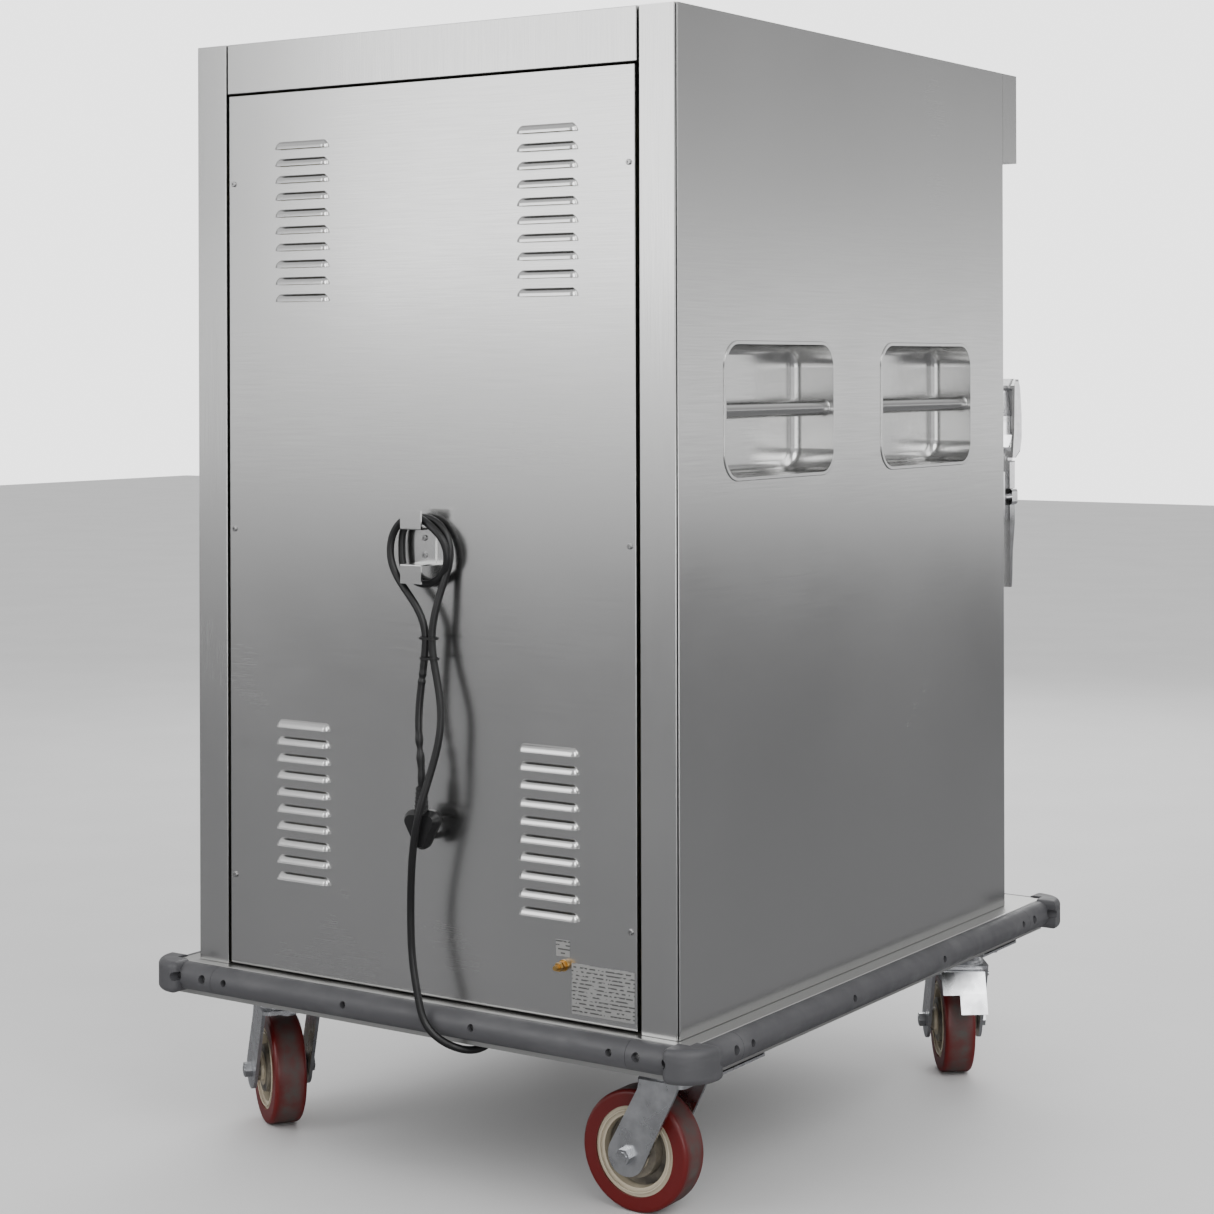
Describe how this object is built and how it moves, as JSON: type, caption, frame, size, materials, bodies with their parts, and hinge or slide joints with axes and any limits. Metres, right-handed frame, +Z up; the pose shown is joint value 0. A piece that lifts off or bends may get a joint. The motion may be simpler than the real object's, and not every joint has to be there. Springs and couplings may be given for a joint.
{
  "type": "food holding cabinet",
  "caption": "Tall heated holding cabinet for food pans: insulated box with louvred rear cover, recessed side handles, bumper-edged deck, hinged door and swivel casters.",
  "frame": {"origin": "on the floor, under the middle of the whole cabinet's plan outline, bumper and cord included", "axes": "+X to the right for someone facing the door, +Y towards the louvred rear, +Z up"},
  "size_m": [0.868, 1.0549, 1.46],
  "materials": {
    "stainless": "brushed, horizontal grain",
    "painted_deck": "brushed, a little darker",
    "bumper": "dark grey, semi-matte moulding",
    "screw_steel": "bright screws",
    "mineral_wool": "loose mineral-wool board",
    "motor_black": "black paint",
    "alloy": "plain",
    "heater_tube": "heat-darkened",
    "brass_bright": "plain",
    "bright_chrome": "polished",
    "lamp_red": "translucent red lens",
    "black_plastic": "moulded",
    "rocker_green": "illuminated green cap",
    "cord_black": "rubber sheathed cord",
    "label_film": "printed film, left blank",
    "gasket_black": "soft seal",
    "zinc": "bright zinc plate on steel",
    "rim_beige": "beige nylon",
    "tread_red": "dark red polyurethane"
  },
  "bodies": {
    "cabinet": {"deck_tray": "painted_deck", "caster_channels": "zinc", "bumper_rails": "bumper", "bumper_corners": "bumper", "bumper_screws": "screw_steel", "side_panel_right": "stainless", "side_panel_left": "stainless", "handle_recesses": "stainless", "top_panel": "stainless", "rear_posts": "stainless", "rear_top_rail": "stainless", "back_panel": "stainless", "rear_screws": "screw_steel", "front_frame": "stainless", "inner_liner": "stainless", "insulation_boards": "mineral_wool", "pan_racks": "stainless", "air_baffle": "stainless", "fan_motor": "motor_black", "heating_element": "heater_tube", "thermostat": "brass_bright", "water_pan": "stainless", "header_housing": "stainless", "thermometer": "bright_chrome", "indicator_lamps": "lamp_red", "switch_frame": "black_plastic", "cord_hook": "stainless", "power_cord": "cord_black", "mains_plug": "cord_black", "rear_labels": "label_film", "earth_stud": "brass_bright", "hinge_frame_leaves": "bright_chrome", "strike_plate": "bright_chrome", "caster_plates": "zinc", "caster_bolts": "zinc"},
    "door": {"door_skin": "stainless", "door_inner_pan": "stainless", "door_insulation": "mineral_wool", "door_gasket": "gasket_black", "hinge_door_leaves": "bright_chrome", "latch_housing": "bright_chrome"},
    "latch_lever": {"latch_lever": "bright_chrome"},
    "latch_plunger": {"latch_plunger": "bright_chrome"},
    "fan": {"fan_wheel": "alloy"},
    "thermostat_knob": {"thermostat_knob": "black_plastic"},
    "power_rocker": {"power_rocker": "rocker_green"},
    "fork_rear_left": {"fork_rear_left": "zinc"},
    "wheel_rear_left": {"wheel_core_rear_left": "rim_beige", "wheel_tread_rear_left": "tread_red"},
    "fork_rear_right": {"fork_rear_right": "zinc"},
    "wheel_rear_right": {"wheel_core_rear_right": "rim_beige", "wheel_tread_rear_right": "tread_red"},
    "fork_front_left": {"fork_front_left": "zinc"},
    "wheel_front_left": {"wheel_core_front_left": "rim_beige", "wheel_tread_front_left": "tread_red"},
    "pedal_front_left": {"brake_pedal_front_left": "zinc"},
    "fork_front_right": {"fork_front_right": "zinc"},
    "wheel_front_right": {"wheel_core_front_right": "rim_beige", "wheel_tread_front_right": "tread_red"},
    "pedal_front_right": {"brake_pedal_front_right": "zinc"}
  },
  "joints": [
    {"name": "door_swing", "type": "hinge", "parent": "cabinet", "child": "door", "pos_m": [0.366, -0.4524, 0.79], "axis": [0, 0, 1], "range_deg": [0, 180]},
    {"name": "latch_pull", "type": "hinge", "parent": "door", "child": "latch_lever", "pos_m": [-0.353, -0.4824, 0.88], "axis": [1, 0, 0], "range_deg": [0, 30]},
    {"name": "plunger_push", "type": "slide", "parent": "door", "child": "latch_plunger", "axis": [0, 1, 0], "range_m": [0, 0.006]},
    {"name": "fan_spin", "type": "hinge", "parent": "cabinet", "child": "fan", "pos_m": [0, 0.3356, 0.76], "axis": [0, 1, 0], "continuous": true},
    {"name": "thermostat_turn", "type": "hinge", "parent": "cabinet", "child": "thermostat_knob", "pos_m": [-0.12, -0.4744, 1.396], "axis": [0, -1, 0], "range_deg": [-270, 0]},
    {"name": "rocker_tilt", "type": "hinge", "parent": "cabinet", "child": "power_rocker", "pos_m": [0.12, -0.4664, 1.396], "axis": [0, 0, -1], "range_deg": [0, 24]},
    {"name": "swivel_rear_left", "type": "hinge", "parent": "cabinet", "child": "fork_rear_left", "pos_m": [-0.307, 0.3646, 0.178], "axis": [0, 0, 1], "continuous": true},
    {"name": "roll_rear_left", "type": "hinge", "parent": "fork_rear_left", "child": "wheel_rear_left", "pos_m": [-0.26001, 0.36542, 0.075], "axis": [-0.0175, 0.9998, 0], "continuous": true},
    {"name": "swivel_rear_right", "type": "hinge", "parent": "cabinet", "child": "fork_rear_right", "pos_m": [0.315, 0.3666, 0.178], "axis": [0, 0, 1], "continuous": true},
    {"name": "roll_rear_right", "type": "hinge", "parent": "fork_rear_right", "child": "wheel_rear_right", "pos_m": [0.35302, 0.33897, 0.075], "axis": [0.5878, 0.809, 0], "continuous": true},
    {"name": "swivel_front_left", "type": "hinge", "parent": "cabinet", "child": "fork_front_left", "pos_m": [-0.333, -0.3574, 0.178], "axis": [0, 0, 1], "continuous": true},
    {"name": "roll_front_left", "type": "hinge", "parent": "fork_front_left", "child": "wheel_front_left", "pos_m": [-0.30537, -0.39542, 0.075], "axis": [0.809, 0.5878, 0], "continuous": true},
    {"name": "brake_front_left", "type": "hinge", "parent": "fork_front_left", "child": "pedal_front_left", "pos_m": [-0.34358, -0.34284, 0.157], "axis": [0.809, 0.5878, 0], "range_deg": [-14, 0]},
    {"name": "swivel_front_right", "type": "hinge", "parent": "cabinet", "child": "fork_front_right", "pos_m": [0.333, -0.3574, 0.178], "axis": [0, 0, 1], "continuous": true},
    {"name": "roll_front_right", "type": "hinge", "parent": "fork_front_right", "child": "wheel_front_right", "pos_m": [0.34908, -0.40157, 0.075], "axis": [0.9397, 0.342, 0], "continuous": true},
    {"name": "brake_front_right", "type": "hinge", "parent": "fork_front_right", "child": "pedal_front_right", "pos_m": [0.32684, -0.34049, 0.157], "axis": [0.9397, 0.342, 0], "range_deg": [-14, 0]}
  ],
  "couplings": [
    {"joint": "plunger_push", "follows": "latch_pull", "m_per_rad": 0.011459}
  ]
}
